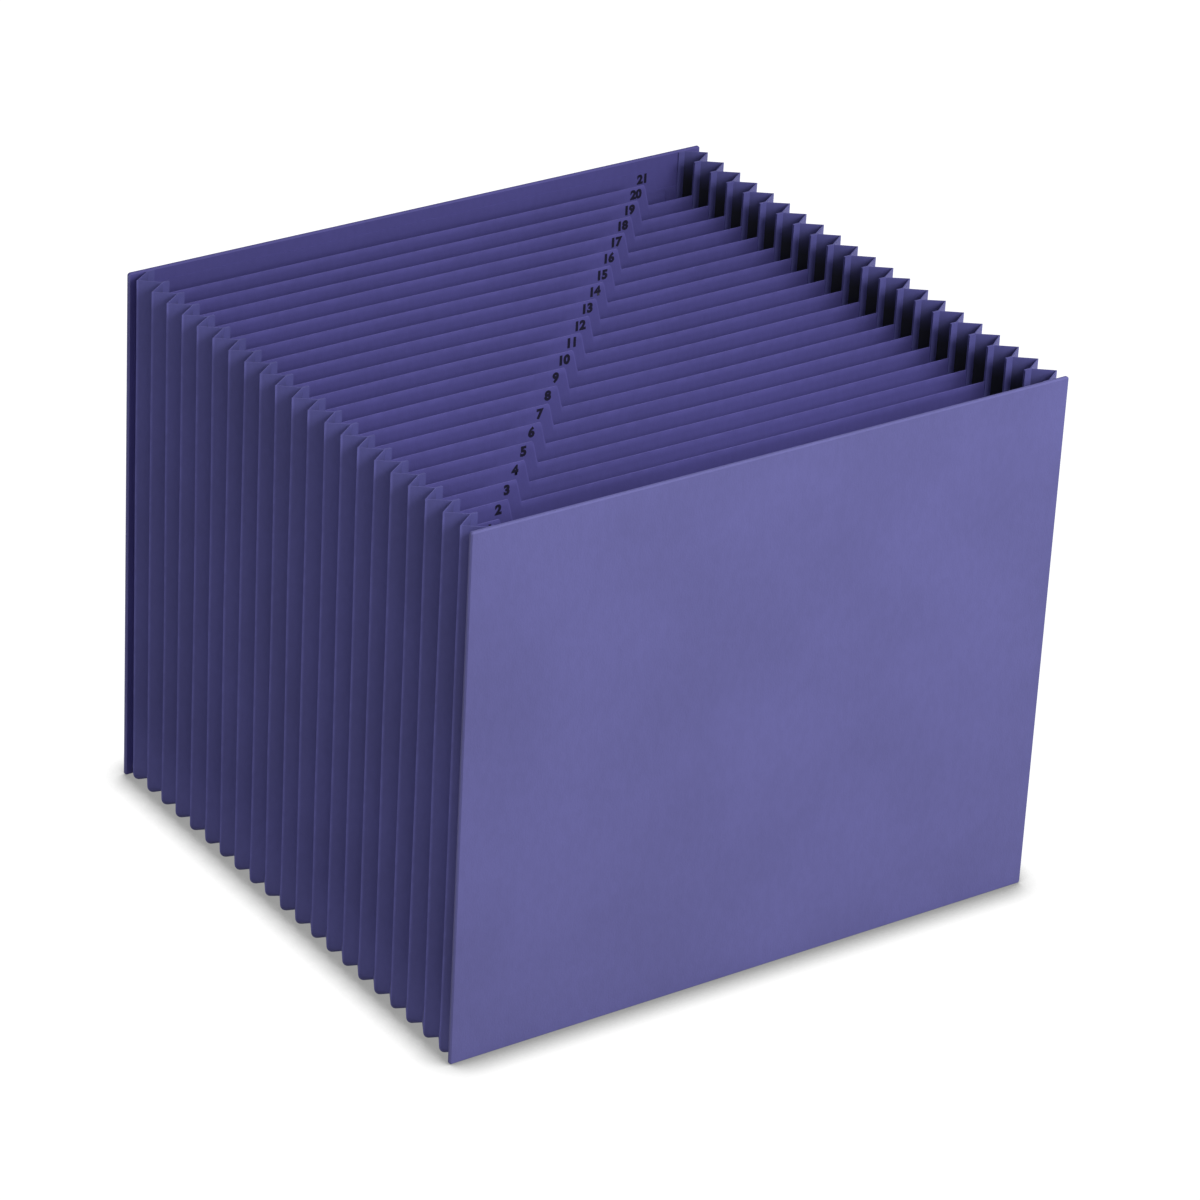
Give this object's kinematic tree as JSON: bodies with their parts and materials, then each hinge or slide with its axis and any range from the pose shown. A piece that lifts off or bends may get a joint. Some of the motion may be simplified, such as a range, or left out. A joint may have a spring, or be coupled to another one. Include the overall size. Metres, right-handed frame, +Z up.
{
  "type": "expanding file folder",
  "caption": "Open-topped expanding file: two stiff covers and thin index dividers joined by a pleated paper gusset that opens like bellows.",
  "frame": {"origin": "on the surface the folder stands on, under the middle of its box", "axes": "+X across the folder's width, +Y from the front cover to the back cover, +Z up to the open top"},
  "size_m": [0.305, 0.2816, 0.254],
  "materials": {
    "cover_paper": "satin, fine leathery emboss, violet",
    "greyboard": "matt grey board",
    "lining_paper": "matt, violet",
    "divider_stock": "matt, violet card",
    "gusset_paper": "matt, violet folded paper"
  },
  "bodies": {
    "back_cover": {"back_cover_board": "greyboard", "back_cover_sheet": "cover_paper", "back_cover_lining": "lining_paper"},
    "divider_20": {"divider_20": "divider_stock", "gusset_pleat_21": "gusset_paper"},
    "divider_19": {"divider_19": "divider_stock", "gusset_pleat_20": "gusset_paper"},
    "divider_18": {"divider_18": "divider_stock", "gusset_pleat_19": "gusset_paper"},
    "divider_17": {"divider_17": "divider_stock", "gusset_pleat_18": "gusset_paper"},
    "divider_16": {"divider_16": "divider_stock", "gusset_pleat_17": "gusset_paper"},
    "divider_15": {"divider_15": "divider_stock", "gusset_pleat_16": "gusset_paper"},
    "divider_14": {"divider_14": "divider_stock", "gusset_pleat_15": "gusset_paper"},
    "divider_13": {"divider_13": "divider_stock", "gusset_pleat_14": "gusset_paper"},
    "divider_12": {"divider_12": "divider_stock", "gusset_pleat_13": "gusset_paper"},
    "divider_11": {"divider_11": "divider_stock", "gusset_pleat_12": "gusset_paper"},
    "divider_10": {"divider_10": "divider_stock", "gusset_pleat_11": "gusset_paper"},
    "divider_09": {"divider_09": "divider_stock", "gusset_pleat_10": "gusset_paper"},
    "divider_08": {"divider_08": "divider_stock", "gusset_pleat_09": "gusset_paper"},
    "divider_07": {"divider_07": "divider_stock", "gusset_pleat_08": "gusset_paper"},
    "divider_06": {"divider_06": "divider_stock", "gusset_pleat_07": "gusset_paper"},
    "divider_05": {"divider_05": "divider_stock", "gusset_pleat_06": "gusset_paper"},
    "divider_04": {"divider_04": "divider_stock", "gusset_pleat_05": "gusset_paper"},
    "divider_03": {"divider_03": "divider_stock", "gusset_pleat_04": "gusset_paper"},
    "divider_02": {"divider_02": "divider_stock", "gusset_pleat_03": "gusset_paper"},
    "divider_01": {"divider_01": "divider_stock", "gusset_pleat_02": "gusset_paper"},
    "front_cover": {"front_cover_board": "greyboard", "front_cover_sheet": "cover_paper", "front_cover_lining": "lining_paper", "gusset_pleat_01": "gusset_paper"}
  },
  "joints": [
    {"name": "pocket_21", "type": "slide", "parent": "back_cover", "child": "divider_20", "axis": [0, -1, 0], "range_m": [-0.0112, 0.008], "deforming": ["gusset_pleat_21"]},
    {"name": "pocket_20", "type": "slide", "parent": "divider_20", "child": "divider_19", "axis": [0, -1, 0], "range_m": [-0.0112, 0.008], "deforming": ["gusset_pleat_20"]},
    {"name": "pocket_19", "type": "slide", "parent": "divider_19", "child": "divider_18", "axis": [0, -1, 0], "range_m": [-0.0112, 0.008], "deforming": ["gusset_pleat_19"]},
    {"name": "pocket_18", "type": "slide", "parent": "divider_18", "child": "divider_17", "axis": [0, -1, 0], "range_m": [-0.0112, 0.008], "deforming": ["gusset_pleat_18"]},
    {"name": "pocket_17", "type": "slide", "parent": "divider_17", "child": "divider_16", "axis": [0, -1, 0], "range_m": [-0.0112, 0.008], "deforming": ["gusset_pleat_17"]},
    {"name": "pocket_16", "type": "slide", "parent": "divider_16", "child": "divider_15", "axis": [0, -1, 0], "range_m": [-0.0112, 0.008], "deforming": ["gusset_pleat_16"]},
    {"name": "pocket_15", "type": "slide", "parent": "divider_15", "child": "divider_14", "axis": [0, -1, 0], "range_m": [-0.0112, 0.008], "deforming": ["gusset_pleat_15"]},
    {"name": "pocket_14", "type": "slide", "parent": "divider_14", "child": "divider_13", "axis": [0, -1, 0], "range_m": [-0.0112, 0.008], "deforming": ["gusset_pleat_14"]},
    {"name": "pocket_13", "type": "slide", "parent": "divider_13", "child": "divider_12", "axis": [0, -1, 0], "range_m": [-0.0112, 0.008], "deforming": ["gusset_pleat_13"]},
    {"name": "pocket_12", "type": "slide", "parent": "divider_12", "child": "divider_11", "axis": [0, -1, 0], "range_m": [-0.0112, 0.008], "deforming": ["gusset_pleat_12"]},
    {"name": "pocket_11", "type": "slide", "parent": "divider_11", "child": "divider_10", "axis": [0, -1, 0], "range_m": [-0.0112, 0.008], "deforming": ["gusset_pleat_11"]},
    {"name": "pocket_10", "type": "slide", "parent": "divider_10", "child": "divider_09", "axis": [0, -1, 0], "range_m": [-0.0112, 0.008], "deforming": ["gusset_pleat_10"]},
    {"name": "pocket_09", "type": "slide", "parent": "divider_09", "child": "divider_08", "axis": [0, -1, 0], "range_m": [-0.0112, 0.008], "deforming": ["gusset_pleat_09"]},
    {"name": "pocket_08", "type": "slide", "parent": "divider_08", "child": "divider_07", "axis": [0, -1, 0], "range_m": [-0.0112, 0.008], "deforming": ["gusset_pleat_08"]},
    {"name": "pocket_07", "type": "slide", "parent": "divider_07", "child": "divider_06", "axis": [0, -1, 0], "range_m": [-0.0112, 0.008], "deforming": ["gusset_pleat_07"]},
    {"name": "pocket_06", "type": "slide", "parent": "divider_06", "child": "divider_05", "axis": [0, -1, 0], "range_m": [-0.0112, 0.008], "deforming": ["gusset_pleat_06"]},
    {"name": "pocket_05", "type": "slide", "parent": "divider_05", "child": "divider_04", "axis": [0, -1, 0], "range_m": [-0.0112, 0.008], "deforming": ["gusset_pleat_05"]},
    {"name": "pocket_04", "type": "slide", "parent": "divider_04", "child": "divider_03", "axis": [0, -1, 0], "range_m": [-0.0112, 0.008], "deforming": ["gusset_pleat_04"]},
    {"name": "pocket_03", "type": "slide", "parent": "divider_03", "child": "divider_02", "axis": [0, -1, 0], "range_m": [-0.0112, 0.008], "deforming": ["gusset_pleat_03"]},
    {"name": "pocket_02", "type": "slide", "parent": "divider_02", "child": "divider_01", "axis": [0, -1, 0], "range_m": [-0.0112, 0.008], "deforming": ["gusset_pleat_02"]},
    {"name": "pocket_01", "type": "slide", "parent": "divider_01", "child": "front_cover", "axis": [0, -1, 0], "range_m": [-0.0112, 0.008], "deforming": ["gusset_pleat_01"]}
  ]
}
